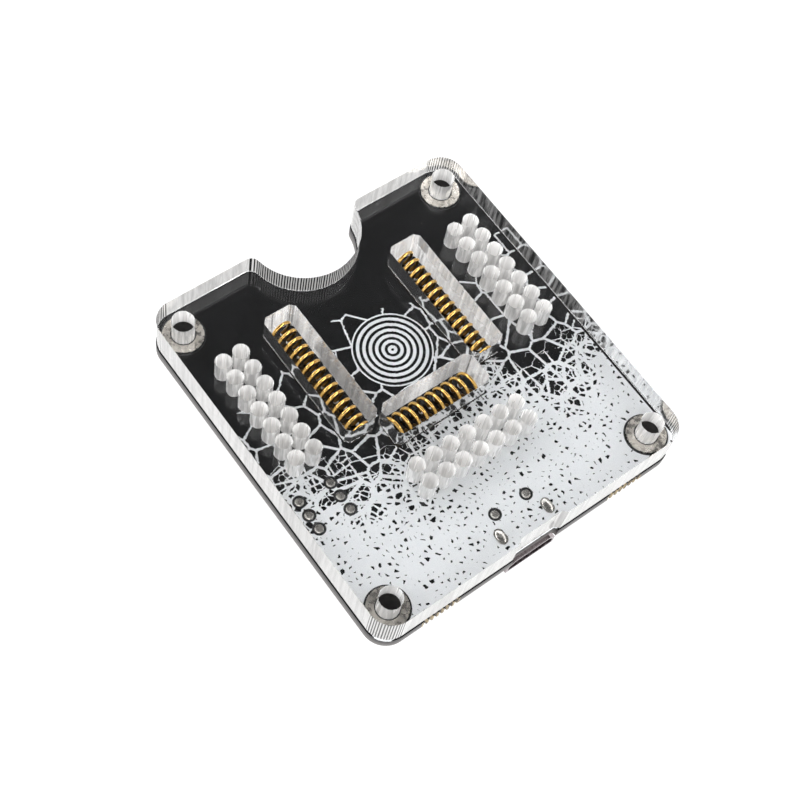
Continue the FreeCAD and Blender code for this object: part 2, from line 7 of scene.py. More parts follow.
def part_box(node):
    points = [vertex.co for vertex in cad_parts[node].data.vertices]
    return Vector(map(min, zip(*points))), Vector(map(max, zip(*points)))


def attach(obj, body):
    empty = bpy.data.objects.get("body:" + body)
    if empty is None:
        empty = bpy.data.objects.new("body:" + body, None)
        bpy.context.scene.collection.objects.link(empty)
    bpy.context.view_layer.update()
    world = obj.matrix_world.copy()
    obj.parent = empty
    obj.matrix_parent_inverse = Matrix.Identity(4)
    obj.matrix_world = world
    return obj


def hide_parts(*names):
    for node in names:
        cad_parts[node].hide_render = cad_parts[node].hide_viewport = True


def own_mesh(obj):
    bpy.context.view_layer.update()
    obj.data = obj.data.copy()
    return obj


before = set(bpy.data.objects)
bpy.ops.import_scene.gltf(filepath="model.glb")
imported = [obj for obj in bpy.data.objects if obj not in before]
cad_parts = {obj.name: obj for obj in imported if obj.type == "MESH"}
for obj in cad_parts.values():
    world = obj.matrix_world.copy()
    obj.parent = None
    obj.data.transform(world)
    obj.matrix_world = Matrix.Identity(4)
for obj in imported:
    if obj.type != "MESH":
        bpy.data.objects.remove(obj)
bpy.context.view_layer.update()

MM = 0.001
BODY = "fixture"

# Camera: the photograph's place, aim and upward direction
CAMERA_PLACE = Vector((-0.07040, -0.05694, 0.17696))
CAMERA_FORWARD = Vector((0.36131, 0.30139, -0.88239))
CAMERA_UP = Vector((0.48637, 0.74647, 0.45412))
CAMERA_LENS = 68.45
CAMERA_SENSOR = 36.0

# Levels and edges, read from the frame
PLATE_LOW, PLATE_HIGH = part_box("cover_plate")
BOARD_LOW, BOARD_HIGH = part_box("circuit_board")
BOARD_TOP = BOARD_HIGH.z
PLATE_TOP = PLATE_HIGH.z
PLATE_BOTTOM = PLATE_LOW.z
LAND_HEIGHT = 0.1 * MM
LAND_TOP = BOARD_TOP + LAND_HEIGHT

# Plate outline and openings
CORNER_RADIUS = 3.0 * MM
NOTCH_RADIUS = 7.6 * MM
NOTCH_OFFSET = 0.3 * MM
NOTCH_SHOULDER = 1.2 * MM
NOTCH_SIDE = 12 * MM          # a curved wall further out than this belongs to a corner
RELIEF_OUTER = 3.7 * MM
RELIEF_INNER = 3.15 * MM
RELIEF_DEPTH = 0.55 * MM
FIXING_INSET = Vector((3.13 * MM, 3.3 * MM))
FIXING_RADIUS = 1.45 * MM
PIN_HOLE_RADIUS = 1.05 * MM
HEADER_PITCH = 2.54 * MM
HEADER_PINS = 7
EDGE_BREAK = 0.05 * MM
SLOT_WIDTH = 4.7 * MM
SIDE_SLOT_LENGTH = 18.355 * MM
SIDE_SLOT_SHIFT = 0.12 * MM
FRONT_SLOT_LENGTH = 13.995 * MM
SLOT_CUT = 0.6 * MM
SLOT_WEB_CUT = 0.8 * MM

# Remains of the panel's tabs on the board's front edge
TAB_REMAINS_START = 11.6 * MM
TAB_REMAINS_END = 17.2 * MM
TAB_REMAINS_DEPTH = 0.6 * MM

# The laser's straight steps round a curve, and how far each strays
CUT_STEP = 0.34 * MM
CUT_WAVER = 0.04 * MM
HOLE_SIDES = 18

# The plate's finishes, in the order that plate_finishes makes them
FACES, OUTER, SLOT, HOLE, CURVED, RIGHT, LIT_SLOT = range(7)

# Spring contacts
ROWS = {"left": 14, "right": 14, "front": 10}
SIDE_ROW_X = 9.65 * MM
SIDE_ROW_Y = 7.05 * MM
FRONT_ROW_Y = -3.28 * MM
CONTACT_PITCH = 1.27 * MM
CONTACT_WIRE = 0.45 * MM
CONTACT_HALF_WIDTH = 1.475 * MM
CONTACT_FOOT_SHIFT = 0.335 * MM
CONTACT_SWEEP = math.radians(75)
CONTACT_SEAT = 0.02 * MM

# Solder, and the bare rings round it
USB_TAB_PLACE = Vector((3.625, -21.78)) * MM
USB_TAB_DOME = Vector((0.66, 1.06, 0.27)) * MM
USB_PEG_X = 2.41 * MM
USB_PEG_SETBACK = 5.47 * MM
SWITCH_PIN_WIDTH = 0.5 * MM
SWITCH_PIN_THICKNESS = 0.3 * MM
SMALL_RING = (0.55 * MM, 0.85 * MM)
CORNER_RING = (2.58 * MM, 2.85 * MM)
RING_LIFT = 0.005 * MM
RING_THICKNESS = 0.02 * MM

# Return spring of the switch
SPRING_WIRE_RADIUS = 0.125 * MM
SPRING_TURNS = 4.0

# White print
PRINT_MARGIN = 0.35 * MM
GLAZE_FINE = 0.85 * MM
GLAZE_MIDDLE = 2.5 * MM
GLAZE_COARSE = 3.1 * MM
GLAZE_FRONT = 7.0 * MM        # the dense front band begins this far in front of the origin
GLAZE_BACK = 11.0 * MM        # the open net ends this far behind it
RINGS_CENTRE = (0.6 * MM, 5.6 * MM)
RINGS_PITCH = 0.8 * MM
RINGS_WIDTH = 0.42 * MM
RINGS_REACH = 5.2 * MM

# Floor and light. The tent's brightness goes by the height of a direction and leans along x and y
FLOOR_HALF = 80.0
FLOOR_LEVEL = -0.02 * MM
WORLD_STRENGTH = 4.3
WORLD_LEAN_X = -0.3
WORLD_LEAN_Y = 0.45
WORLD_RING = ((0.0, 0.2), (0.46, 0.24), (0.57, 0.5), (0.63, 1.0), (0.71, 1.0), (0.79, 0.03), (1.0, 0.02))


class Graph:
    """A material's nodes, with short calls for the kinds that are used here."""

    def __init__(self, name, **sockets):
        self.material = bpy.data.materials.new(name)
        self.material.use_nodes = True
        self.tree = self.material.node_tree
        self.shader = self.tree.nodes["Principled BSDF"]
        self.place = self.node("ShaderNodeTexCoord").outputs["Object"]
        for key, value in sockets.items():
            self.shader.inputs[key.replace("_", " ")].default_value = value

    def node(self, kind, **settings):
        made = self.tree.nodes.new(kind)
        for key, value in settings.items():
            setattr(made, key, value)
        return made

    def feed(self, value, socket):
        if isinstance(value, bpy.types.NodeSocket):
            self.tree.links.new(value, socket)
        else:
            socket.default_value = value

    def math(self, operation, *values):
        made = self.node("ShaderNodeMath", operation=operation)
        for value, socket in zip(values, made.inputs):
            self.feed(value, socket)
        return made.outputs[0]

    def axes(self, source=None):
        made = self.node("ShaderNodeSeparateXYZ")
        self.feed(source or self.place, made.inputs[0])
        return made.outputs[0], made.outputs[1], made.outputs[2]

    def join(self, x, y, z):
        made = self.node("ShaderNodeCombineXYZ")
        for value, socket in zip((x, y, z), made.inputs):
            self.feed(value, socket)
        return made.outputs[0]

    def normal(self):
        return self.axes(self.node("ShaderNodeNewGeometry").outputs["Normal"])

    def noise(self, grain, detail=2.0, vector=None):
        made = self.node("ShaderNodeTexNoise")
        self.feed(vector or self.place, made.inputs["Vector"])
        made.inputs["Scale"].default_value = 1.0 / grain
        made.inputs["Detail"].default_value = detail
        return made.outputs["Fac"]

    def remap(self, value, low, high, to_low=0.0, to_high=1.0):
        made = self.node("ShaderNodeMapRange")
        for item, key in ((value, "Value"), (low, "From Min"), (high, "From Max")):
            self.feed(item, made.inputs[key])
        made.inputs["To Min"].default_value = to_low
        made.inputs["To Max"].default_value = to_high
        return made.outputs["Result"]

    def mix(self, factor, first, second):
        made = self.node("ShaderNodeMix", data_type="RGBA")
        self.feed(factor, made.inputs["Factor"])
        for value, socket in ((first, made.inputs[6]), (second, made.inputs[7])):
            if isinstance(value, tuple):
                value = (*value, 1.0)
            self.feed(value, socket)
        return made.outputs[2]

    def bump(self, height, depth, strength=1.0):
        made = self.node("ShaderNodeBump")
        made.inputs["Strength"].default_value = strength
        made.inputs["Distance"].default_value = depth
        self.feed(height, made.inputs["Height"])
        self.tree.links.new(made.outputs["Normal"], self.shader.inputs["Normal"])

    def colour(self, value):
        self.feed(value, self.shader.inputs["Base Color"])

    def roughness(self, value):
        self.feed(value, self.shader.inputs["Roughness"])


def polished_acrylic():
    """The plate's clear faces, with the faintest unevenness of cast sheet."""
    g = Graph("polished_acrylic", Base_Color=(1, 1, 1, 1), Transmission_Weight=1.0, IOR=1.49)
    g.roughness(g.remap(g.noise(6 * MM), 0.3, 0.7, 0.0, 0.012))
    g.bump(g.noise(9 * MM), 0.002 * MM, 0.2)
    return g.material


def step_reflection_bars(g, x, y):
    """Painted reflection: upright dark and light bars round the notch and the outer corners, where the laser
    went round in short steps.
    """
    across = g.math("ABSOLUTE", x)
    notch_y = g.math("SUBTRACT", y, PLATE_HIGH.y + NOTCH_OFFSET)
    notch_turn = g.math("MULTIPLY", g.math("ARCTAN2", notch_y, x), NOTCH_RADIUS)
    corner_x = g.math("SUBTRACT", across, PLATE_HIGH.x - CORNER_RADIUS)
    corner_y = g.math("SUBTRACT", g.math("ABSOLUTE", y), PLATE_HIGH.y - CORNER_RADIUS)
    corner_turn = g.math("MULTIPLY", g.math("ARCTAN2", corner_y, corner_x), CORNER_RADIUS)
    by_corner = g.math("GREATER_THAN", across, NOTCH_SIDE)
    turn = g.math("MULTIPLY_ADD", g.math("SUBTRACT", corner_turn, notch_turn), by_corner, notch_turn)
    uneven = g.math("MULTIPLY", g.noise(0.9 * MM, 1.0, g.join(x, y, 0.0)), 0.3 * MM)
    place = g.math("DIVIDE", g.math("ADD", turn, uneven), CUT_STEP)
    return g.math("ABSOLUTE", g.math("MULTIPLY_ADD", g.math("FRACT", place), 2.0, -1.0))


def cut_acrylic(name, clearness, low, high, tone, painted_glow=0.0, steps=0.0, curved=False):
    """The laser-cut walls, with upright streaks. Clearness is the share of light that goes through and tone
    the wall's own brightness. The glow is painted light that the walls give off, stronger on the back walls.
    Low and high are roughness, steps is how dark the streaks get, and curved walls take painted reflection
    bars of the laser's steps in place of streaks."""
    g = Graph(name, Transmission_Weight=clearness, IOR=1.49)
    x, y, z = g.axes()
    streak_place = g.join(x, y, g.math("MULTIPLY", z, 0.06))
    fine = g.noise(0.22 * MM, 1.0, streak_place)
    coarse = g.noise(0.7 * MM, 2.0, streak_place)
    height = g.math("ADD", g.math("MULTIPLY", fine, 0.5), coarse)
    g.roughness(g.remap(coarse, 0.3, 0.7, low, high))
    g.bump(height, 0.03 * MM, 0.5)
    streaks = step_reflection_bars(g, x, y) if curved else g.math("MULTIPLY", height, 0.67)
    shade = g.remap(streaks, 0.4, 0.6, 1.0 - steps, 1.0)
    g.colour(g.mix(shade, (0.02, 0.02, 0.02), (tone, 0.99 * tone, 0.98 * tone)))
    if painted_glow:
        # Painted light: the walls give off light of their own, which follows the streaks and is stronger on
        # the back walls as painted backlight.
        painted_backlight = g.remap(y, PLATE_HIGH.y - 1.0 * MM, PLATE_HIGH.y - 0.5 * MM, 0.55, 1.0)
        share = g.math("MULTIPLY", shade, painted_backlight)
        g.feed(g.mix(share, (0.0, 0.0, 0.0), (1.0, 0.99, 0.98)), g.shader.inputs["Emission Color"])
        g.shader.inputs["Emission Strength"].default_value = painted_glow
    return g.material


def crackle(g, place, cell, half_width):
    """White lines between the cells of a cracked glaze. The half width is counted in cells."""
    made = g.node("ShaderNodeTexVoronoi", voronoi_dimensions="2D", feature="DISTANCE_TO_EDGE")
    g.feed(place, made.inputs["Vector"])
    made.inputs["Scale"].default_value = 1.0 / cell
    return g.math("LESS_THAN", made.outputs["Distance"], half_width)


def ring_lines(g, x, y, centre, pitch, width, reach):
    """Concentric rings about a point, out to the given reach, with the distance they are measured by."""
    dx = g.math("SUBTRACT", x, centre[0])
    dy = g.math("SUBTRACT", y, centre[1])
    away = g.math("SQRT", g.math("ADD", g.math("MULTIPLY", dx, dx), g.math("MULTIPLY", dy, dy)))
    off = g.math("ABSOLUTE", g.math("SUBTRACT", g.math("FRACT", g.math("DIVIDE", away, pitch)), 0.5))
    lines = g.math("LESS_THAN", off, 0.5 * width / pitch)
    return g.math("MULTIPLY", lines, g.math("LESS_THAN", away, reach)), away


def inside_box(g, x, y, low, high):
    """1 inside a rectangle in plan."""
    parts = [g.math("GREATER_THAN", x, low[0]), g.math("LESS_THAN", x, high[0])]
    parts += [g.math("GREATER_THAN", y, low[1]), g.math("LESS_THAN", y, high[1])]
    total = parts[0]
    for part in parts[1:]:
        total = g.math("MULTIPLY", total, part)
    return total


def slot_masks(g, x, y):
    """1 under the three slots, where the board stays bare black."""
    half_width = SLOT_WIDTH / 2 + 0.1 * MM
    half_length = SIDE_SLOT_LENGTH / 2
    low = (SIDE_ROW_X - half_width, SIDE_ROW_Y - half_length)
    high = (SIDE_ROW_X + half_width, SIDE_ROW_Y + half_length)
    side = inside_box(g, g.math("ABSOLUTE", x), y, low, high)
    half_length = FRONT_SLOT_LENGTH / 2
    low = (-half_length, FRONT_ROW_Y - half_width)
    high = (half_length, FRONT_ROW_Y + half_width)
    return g.math("MAXIMUM", side, inside_box(g, x, y, low, high))


def wave(g, along, length, swing, start):
    """A plain wave of the given length and swing."""
    turn = g.math("MULTIPLY_ADD", along, 2 * math.pi / length, start)
    return g.math("MULTIPLY", g.math("SINE", turn), swing)


def glaze(g, x, y, ragged):
    """A cracked glaze in three sizes: dense along the front, open at the sides, and bare at the back."""
    patches = g.math("SUBTRACT", g.noise(3.0 * MM, 3.0), 0.5)
    jitter = g.math("MULTIPLY", ragged, 0.35 * MM)
    place = g.join(g.math("ADD", x, jitter), g.math("SUBTRACT", y, jitter), 0.0)
    shore = g.math("ADD", wave(g, x, 24 * MM, 2.6 * MM, 0.4), wave(g, x, 9.5 * MM, 0.8 * MM, 2.0))
    depth = g.math("SUBTRACT", g.math("SUBTRACT", shore, y), GLAZE_FRONT)
    tone = g.math("MULTIPLY_ADD", depth, 36.0, g.math("MULTIPLY_ADD", patches, 0.75, 0.1))
    fine = crackle(g, place, GLAZE_FINE, g.math("MINIMUM", tone, 0.33))
    middle = crackle(g, place, GLAZE_MIDDLE, g.remap(depth, -6 * MM, 0.0, -0.02, 0.1))
    coarse = crackle(g, place, GLAZE_COARSE, g.remap(y, -8 * MM, 12 * MM, 0.06, 0.04))
    back = g.math("MULTIPLY_ADD", patches, 2.0 * MM, GLAZE_BACK)
    back = g.math("ADD", wave(g, x, 31 * MM, 2.2 * MM, 2.4), back)
    field = g.math("MAXIMUM", g.math("MAXIMUM", fine, middle), coarse)
    return g.math("MULTIPLY", field, g.math("LESS_THAN", y, back))


def board_print(g, x, y):
    """The white print: the glaze and plain rings in its middle, inside a bare margin, clear of the slots."""
    ragged = g.math("SUBTRACT", g.noise(0.3 * MM, 2.0), 0.5)
    field = glaze(g, x, y, ragged)
    jagged_x = g.math("MULTIPLY_ADD", ragged, 0.12 * MM, x)
    jagged_y = g.math("MULTIPLY_ADD", ragged, 0.12 * MM, y)
    rings, away = ring_lines(g, jagged_x, jagged_y, RINGS_CENTRE, RINGS_PITCH, RINGS_WIDTH, RINGS_REACH)
    field = g.math("MULTIPLY", field, g.math("GREATER_THAN", away, RINGS_REACH))
    field = g.math("MAXIMUM", field, rings)
    margin_x = g.math("LESS_THAN", g.math("ABSOLUTE", x), BOARD_HIGH.x - PRINT_MARGIN)
    margin_y = g.math("LESS_THAN", g.math("ABSOLUTE", y), BOARD_HIGH.y - PRINT_MARGIN)
    field = g.math("MULTIPLY", field, g.math("MULTIPLY", margin_x, margin_y))
    return g.math("MULTIPLY", field, g.math("SUBTRACT", 1.0, slot_masks(g, x, y)))


def board_side(g, x, y, z):
    """The board's sawn edge: grey glass fibre below, dark towards the top from the thin mask and painted
    shade under the plate, and striped tan at the tab remains.
    """
    weave = g.noise(0.3 * MM, 2.0, g.join(x, y, g.math("MULTIPLY", z, 3.0)))
    # Painted shade: the edge darkens towards the top, under the plate.
    share = g.remap(z, BOARD_LOW.z + 0.3 * MM, BOARD_TOP - 0.35 * MM)
    grey = g.mix(weave, (0.10, 0.092, 0.09), (0.20, 0.185, 0.18))
    dark = g.mix(weave, (0.012, 0.011, 0.011), (0.035, 0.030, 0.030))
    side = g.mix(share, grey, dark)
    far = BOARD_LOW.y + TAB_REMAINS_DEPTH
    tab = inside_box(g, g.math("ABSOLUTE", x), y, (TAB_REMAINS_START, -1.0), (TAB_REMAINS_END, far))
    stripe = g.noise(0.22 * MM, 1.0, g.join(x, y, g.math("MULTIPLY", z, 0.15)))
    rough = g.mix(g.math("GREATER_THAN", stripe, 0.5), (0.05, 0.035, 0.02), (0.42, 0.33, 0.19))
    return g.mix(tab, side, rough)


def board_material():
    """Glossy black mask with the white print on top, and bare glass-fibre edges."""
    g = Graph("board_mask_and_print", IOR=1.5)
    x, y, z = g.axes()
    nz = g.normal()[2]
    high = g.math("GREATER_THAN", z, BOARD_TOP - 0.05 * MM)
    on_top = g.math("MULTIPLY", g.math("GREATER_THAN", nz, 0.9), high)
    ink = g.math("MULTIPLY", board_print(g, x, y), on_top)
    mask = g.mix(g.noise(1.5 * MM, 3.0), (0.004, 0.004, 0.0045), (0.007, 0.007, 0.008))
    white = g.mix(g.noise(0.6 * MM, 3.0), (0.87, 0.89, 0.91), (0.93, 0.95, 0.96))
    on_side = g.math("LESS_THAN", g.math("ABSOLUTE", nz), 0.5)
    face = g.mix(ink, mask, white)
    g.colour(g.mix(on_side, face, board_side(g, x, y, z)))
    rough = g.math("ADD", 0.11, g.math("MULTIPLY", ink, 0.4))
    g.roughness(g.math("ADD", rough, g.math("MULTIPLY", on_side, 0.35)))
    height = g.math("ADD", g.math("MULTIPLY", ink, 0.6), g.math("MULTIPLY", g.noise(0.25 * MM, 2.0), 0.15))
    g.bump(height, 0.015 * MM, 0.5)
    return g.material


def metal(name, dark, light, low, high, grain, depth):
    """A plated metal whose colour varies from dark to light and whose roughness varies from low to high."""
    g = Graph(name, Metallic=1.0)
    g.colour(g.mix(g.noise(grain, 3.0), dark, light))
    g.roughness(g.remap(g.noise(0.6 * grain, 2.0), 0.3, 0.7, low, high))
    g.bump(g.noise(0.8 * grain, 2.0), depth, 0.5)
    return g.material


def plastic(name, dark, light, rough, grain=0.12 * MM):
    """A moulded plastic with a fine grain."""
    g = Graph(name, IOR=1.5, Specular_IOR_Level=0.3)
    g.colour(g.mix(g.noise(2.0 * MM, 2.0), dark, light))
    g.roughness(g.remap(g.noise(grain, 2.0), 0.3, 0.7, rough - 0.08, rough + 0.08))
    g.bump(g.noise(grain, 2.0), 0.01 * MM, 0.4)
    return g.material


def gold_wire():
    """Gold-plated wire, bright on the crown of each turn, rougher near its feet and darkened there by painted
    shade.
    """
    g = Graph("gold_wire", Metallic=1.0)
    # Painted shade: the gold darkens from the crown of each turn down to its feet.
    level = g.math("MULTIPLY_ADD", g.noise(0.5 * MM), 0.5 * MM, g.axes()[2])
    share = g.remap(level, LAND_TOP + 1.5 * MM, LAND_TOP + 2.6 * MM)
    bright = g.mix(g.noise(0.5 * MM, 3.0), (0.66, 0.38, 0.08), (0.92, 0.62, 0.22))
    painted_shade_gold = g.mix(g.noise(0.4 * MM, 3.0), (0.07, 0.04, 0.012), (0.20, 0.11, 0.03))
    g.colour(g.mix(share, painted_shade_gold, bright))
    g.roughness(g.remap(share, 0.0, 1.0, 0.4, 0.14))
    g.bump(g.noise(0.4 * MM, 2.0), 0.006 * MM, 0.5)
    return g.material


def board_tin():
    """Tin on the corner rings, and near-black tin on the low lands under the contacts."""
    g = Graph("land_tin", Metallic=1.0)
    high = g.math("GREATER_THAN", g.axes()[2], LAND_TOP + 0.05 * MM)
    bright = g.mix(g.noise(1.2 * MM, 3.0), (0.66, 0.61, 0.54), (0.84, 0.80, 0.74))
    dark_low_tin = g.mix(g.noise(0.3 * MM, 3.0), (0.02, 0.018, 0.015), (0.10, 0.09, 0.07))
    g.colour(g.mix(high, dark_low_tin, bright))
    g.roughness(g.remap(g.noise(0.7 * MM, 2.0), 0.3, 0.7, 0.16, 0.4))
    g.bump(g.noise(1.6 * MM, 2.0), 0.05 * MM, 0.6)
    return g.material


def capped(name, node, dark, light):
    """A row of small chip parts with ceramic bodies and tinned ends, which lie along y."""
    low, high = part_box(node)
    g = Graph(name, IOR=1.5)
    along = g.math("ABSOLUTE", g.math("SUBTRACT", g.axes()[1], (low.y + high.y) / 2))
    end = g.math("GREATER_THAN", along, (high.y - low.y) / 2 - 0.3 * MM)
    g.colour(g.mix(end, g.mix(g.noise(0.3 * MM, 2.0), dark, light), (0.62, 0.60, 0.57)))
    g.feed(end, g.shader.inputs["Metallic"])
    g.roughness(g.remap(g.noise(0.2 * MM, 2.0), 0.3, 0.7, 0.3, 0.45))
    g.bump(g.noise(0.15 * MM, 2.0), 0.01 * MM, 0.4)
    return g.material


def white_floor():
    """A plain pale floor, lit from itself enough to stay even."""
    g = Graph("pale_floor", Roughness=0.9)
    g.colour(g.mix(g.noise(0.05, 2.0), (0.20, 0.20, 0.20), (0.22, 0.22, 0.22)))
    g.shader.inputs["Emission Color"].default_value = (1.0, 1.0, 1.0, 1.0)
    g.shader.inputs["Emission Strength"].default_value = 0.85
    return g.material


def paint(node, material):
    """Gives a CAD piece its finished material."""
    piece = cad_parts[node]
    if not piece.material_slots:
        piece.data.materials.append(material)
    for place in piece.material_slots:
        place.link = "OBJECT"
        place.material = material


def new_mesh(name, points, faces, material):
    """A mesh piece that rides on the fixture."""
    mesh = bpy.data.meshes.new(name)
    mesh.from_pydata([tuple(p) for p in points], [], faces)
    mesh.materials.append(material)
    mesh.polygons.foreach_set("use_smooth", [True] * len(mesh.polygons))
    piece = bpy.data.objects.new(name, mesh)
    bpy.context.collection.objects.link(piece)
    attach(piece, BODY)
    return piece


def on_circle(centre, radius, angle):
    """A point in plan, on a circle about the centre."""
    return Vector((centre[0] + radius * math.cos(angle), centre[1] + radius * math.sin(angle)))


def waver(centre, k):
    """How far a laser's cut strays outward at its step k."""
    return CUT_WAVER * noise.noise(Vector((centre[0] * 900, centre[1] * 900, k * 0.83)))


def arc(centre, radius, start, end):
    """Points round part of a circle, ends included, which waver a little in between."""
    steps = max(2, round(abs(end - start) * radius / CUT_STEP))
    points = []
    for k in range(steps + 1):
        here = radius
        if 0 < k < steps:
            here += waver(centre, k)
        points.append(on_circle(centre, here, start + (end - start) * k / steps))
    return points


def hole(centre, radius):
    """A small hole, cut in short straight steps."""
    step = 2 * math.pi / HOLE_SIDES
    start = noise.noise(Vector((centre[0] * 700, centre[1] * 700, 0))) * step
    return [on_circle(centre, radius + waver(centre, k), start + k * step) for k in range(HOLE_SIDES)]


def plate_outline():
    """The plate's outer edge, anticlockwise, with the relief in front and the notch at the back."""
    right, back = PLATE_HIGH.x, PLATE_HIGH.y
    front = PLATE_LOW.y
    r = CORNER_RADIUS
    quarter = math.pi / 2
    points = [Vector((-RELIEF_OUTER, front)), Vector((-RELIEF_INNER, front + RELIEF_DEPTH))]
    points += [Vector((RELIEF_INNER, front + RELIEF_DEPTH)), Vector((RELIEF_OUTER, front))]
    points += arc((right - r, front + r), r, -quarter, 0)
    points += arc((right - r, back - r), r, 0, quarter)
    centre_y = back + NOTCH_OFFSET
    reach = NOTCH_RADIUS + NOTCH_SHOULDER
    shoulder_y = back - NOTCH_SHOULDER
    shoulder_x = math.sqrt(reach ** 2 - (centre_y - shoulder_y) ** 2)
    lean = math.atan2(centre_y - shoulder_y, shoulder_x)
    points += arc((shoulder_x, shoulder_y), NOTCH_SHOULDER, quarter, math.pi - lean)
    points += arc((0, centre_y), NOTCH_RADIUS, -lean, lean - math.pi)[1:-1]
    points += arc((-shoulder_x, shoulder_y), NOTCH_SHOULDER, lean, quarter)
    points += arc((-right + r, back - r), r, quarter, 2 * quarter)
    points += arc((-right + r, front + r), r, 2 * quarter, 3 * quarter)
    return points


def slot_outline(centre, size, cuts):
    """A slot with its corners cut off, from the corner at the lowest x and y, anticlockwise."""
    x0, x1 = centre[0] - size[0] / 2, centre[0] + size[0] / 2
    y0, y1 = centre[1] - size[1] / 2, centre[1] + size[1] / 2
    a, b, c, d = cuts
    front = ((x0, y0 + a), (x0 + a, y0), (x1 - b, y0), (x1, y0 + b))
    back = ((x1, y1 - c), (x1 - c, y1), (x0 + d, y1), (x0, y1 - d))
    return [Vector(p) for p in front + back]


def slot_outlines():
    """The three slots over the contacts. The corners by the web between two slots are cut off further."""
    middle_y = SIDE_ROW_Y + SIDE_SLOT_SHIFT
    size = (SLOT_WIDTH, SIDE_SLOT_LENGTH)
    left = slot_outline((-SIDE_ROW_X, middle_y), size, (SLOT_CUT, SLOT_WEB_CUT, SLOT_CUT, SLOT_CUT))
    right = slot_outline((SIDE_ROW_X, middle_y), size, (SLOT_WEB_CUT, SLOT_CUT, SLOT_CUT, SLOT_CUT))
    front_cuts = (SLOT_CUT, SLOT_CUT, SLOT_WEB_CUT, SLOT_WEB_CUT)
    front = slot_outline((0, FRONT_ROW_Y), (FRONT_SLOT_LENGTH, SLOT_WIDTH), front_cuts)
    return [left, right, front]


def fixing_points():
    """The four corner fixings in plan."""
    x, y = PLATE_HIGH.x - FIXING_INSET.x, PLATE_HIGH.y - FIXING_INSET.y
    return [(sx * x, sy * y) for sx in (-1, 1) for sy in (-1, 1)]


def header_points():
    """The pins of the three headers in plan, from the middles of their bodies in the frame."""
    points = []
    for node in ("header_left", "header_right", "header_front"):
        low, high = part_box(node)
        middle = (low + high) / 2
        along_y = high.y - low.y > high.x - low.x
        for side in (-0.5, 0.5):
            for place in range(HEADER_PINS):
                along = (place - (HEADER_PINS - 1) / 2) * HEADER_PITCH
                across = side * HEADER_PITCH
                shift = (across, along) if along_y else (along, across)
                points.append((middle.x + shift[0], middle.y + shift[1]))
    return points


def near_hole(place, holes):
    """Whether a point of the plate lies on the wall of one of the holes."""
    for centre, radius in holes:
        if math.hypot(place.x - centre[0], place.y - centre[1]) < radius + 3 * EDGE_BREAK:
            return True
    return False


def wall_kind(place, normal, holes):
    """Which of the plate's wall finishes a place takes."""
    if near_hole(place, holes):
        return HOLE
    across, back = abs(place.x), PLATE_HIGH.y - place.y
    in_notch = math.hypot(across, back + NOTCH_OFFSET) < NOTCH_RADIUS + 2 * EDGE_BREAK
    on_shoulder = across < NOTCH_RADIUS + 2 * NOTCH_SHOULDER and EDGE_BREAK < back < NOTCH_SHOULDER
    from_side, from_end = PLATE_HIGH.x - across, PLATE_HIGH.y - abs(place.y)
    if in_notch or on_shoulder or max(from_side, from_end) < CORNER_RADIUS:
        return CURVED
    if PLATE_HIGH.x - place.x < 2 * EDGE_BREAK:
        return RIGHT
    if min(from_side, from_end) < RELIEF_DEPTH + EDGE_BREAK:
        return OUTER
    return LIT_SLOT if normal.x + normal.y < -0.3 else SLOT


def outline_mesh(name, loops):
    """A flat outline with openings, extruded to the plate's thickness with broken edges."""
    curve = bpy.data.curves.new("plate_outline", "CURVE")
    curve.dimensions = "2D"
    curve.fill_mode = "BOTH"
    curve.extrude = (PLATE_TOP - PLATE_BOTTOM) / 2 - EDGE_BREAK
    curve.bevel_depth = EDGE_BREAK
    curve.bevel_resolution = 1
    curve.offset = -EDGE_BREAK
    for loop in loops:
        spline = curve.splines.new("POLY")
        spline.points.add(len(loop) - 1)
        for point, place in zip(spline.points, loop):
            point.co = (place.x, place.y, 0, 1)
        spline.use_cyclic_u = True
    holder = bpy.data.objects.new("plate_outline", curve)
    bpy.context.collection.objects.link(holder)
    bpy.context.view_layer.update()
    mesh = bpy.data.meshes.new_from_object(holder.evaluated_get(bpy.context.evaluated_depsgraph_get()))
    bpy.data.objects.remove(holder)
    mesh.name = name
    mesh.transform(Matrix.Translation((0, 0, (PLATE_TOP + PLATE_BOTTOM) / 2)))
    mesh.materials.clear()
    return mesh


def build_plate(materials):
    """The clear plate, with a finish for its faces and others for its walls."""
    holes = [(p, FIXING_RADIUS) for p in fixing_points()] + [(p, PIN_HOLE_RADIUS) for p in header_points()]
    loops = [plate_outline()] + slot_outlines() + [hole(p, radius) for p, radius in holes]
    mesh = outline_mesh("clear_plate", loops)
    for material in materials:
        mesh.materials.append(material)
    for polygon in mesh.polygons:
        polygon.use_smooth = False
        polygon.material_index = FACES
        if abs(polygon.normal.z) < 0.9:
            polygon.material_index = wall_kind(polygon.center, polygon.normal, holes)
    mesh.update()
    plate = bpy.data.objects.new("clear_plate", mesh)
    bpy.context.collection.objects.link(plate)
    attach(plate, BODY)
    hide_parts("cover_plate")


def turn_path(steps=44):
    """The centre line of one contact turn about the Y axis. Its legs curl in under it, and it leans."""
    points = []
    centre_z = CONTACT_SEAT + (CONTACT_HALF_WIDTH + CONTACT_WIRE / 2) * math.sin(CONTACT_SWEEP)
    most = CONTACT_PITCH / 4
    for k in range(steps + 1):
        angle = -CONTACT_SWEEP + (math.pi + 2 * CONTACT_SWEEP) * k / steps
        quarter = 1 - angle / (math.pi / 2)
        lean = max(-1.0, min(1.0, quarter)) * most
        if abs(quarter) > 1:
            share = (abs(quarter) - 1) / (CONTACT_SWEEP / (math.pi / 2))
            lean = math.copysign(most + share * (CONTACT_FOOT_SHIFT - most), quarter)
        x = CONTACT_HALF_WIDTH * math.cos(angle)
        points.append(Vector((x, lean, centre_z + CONTACT_HALF_WIDTH * math.sin(angle))))
    return points


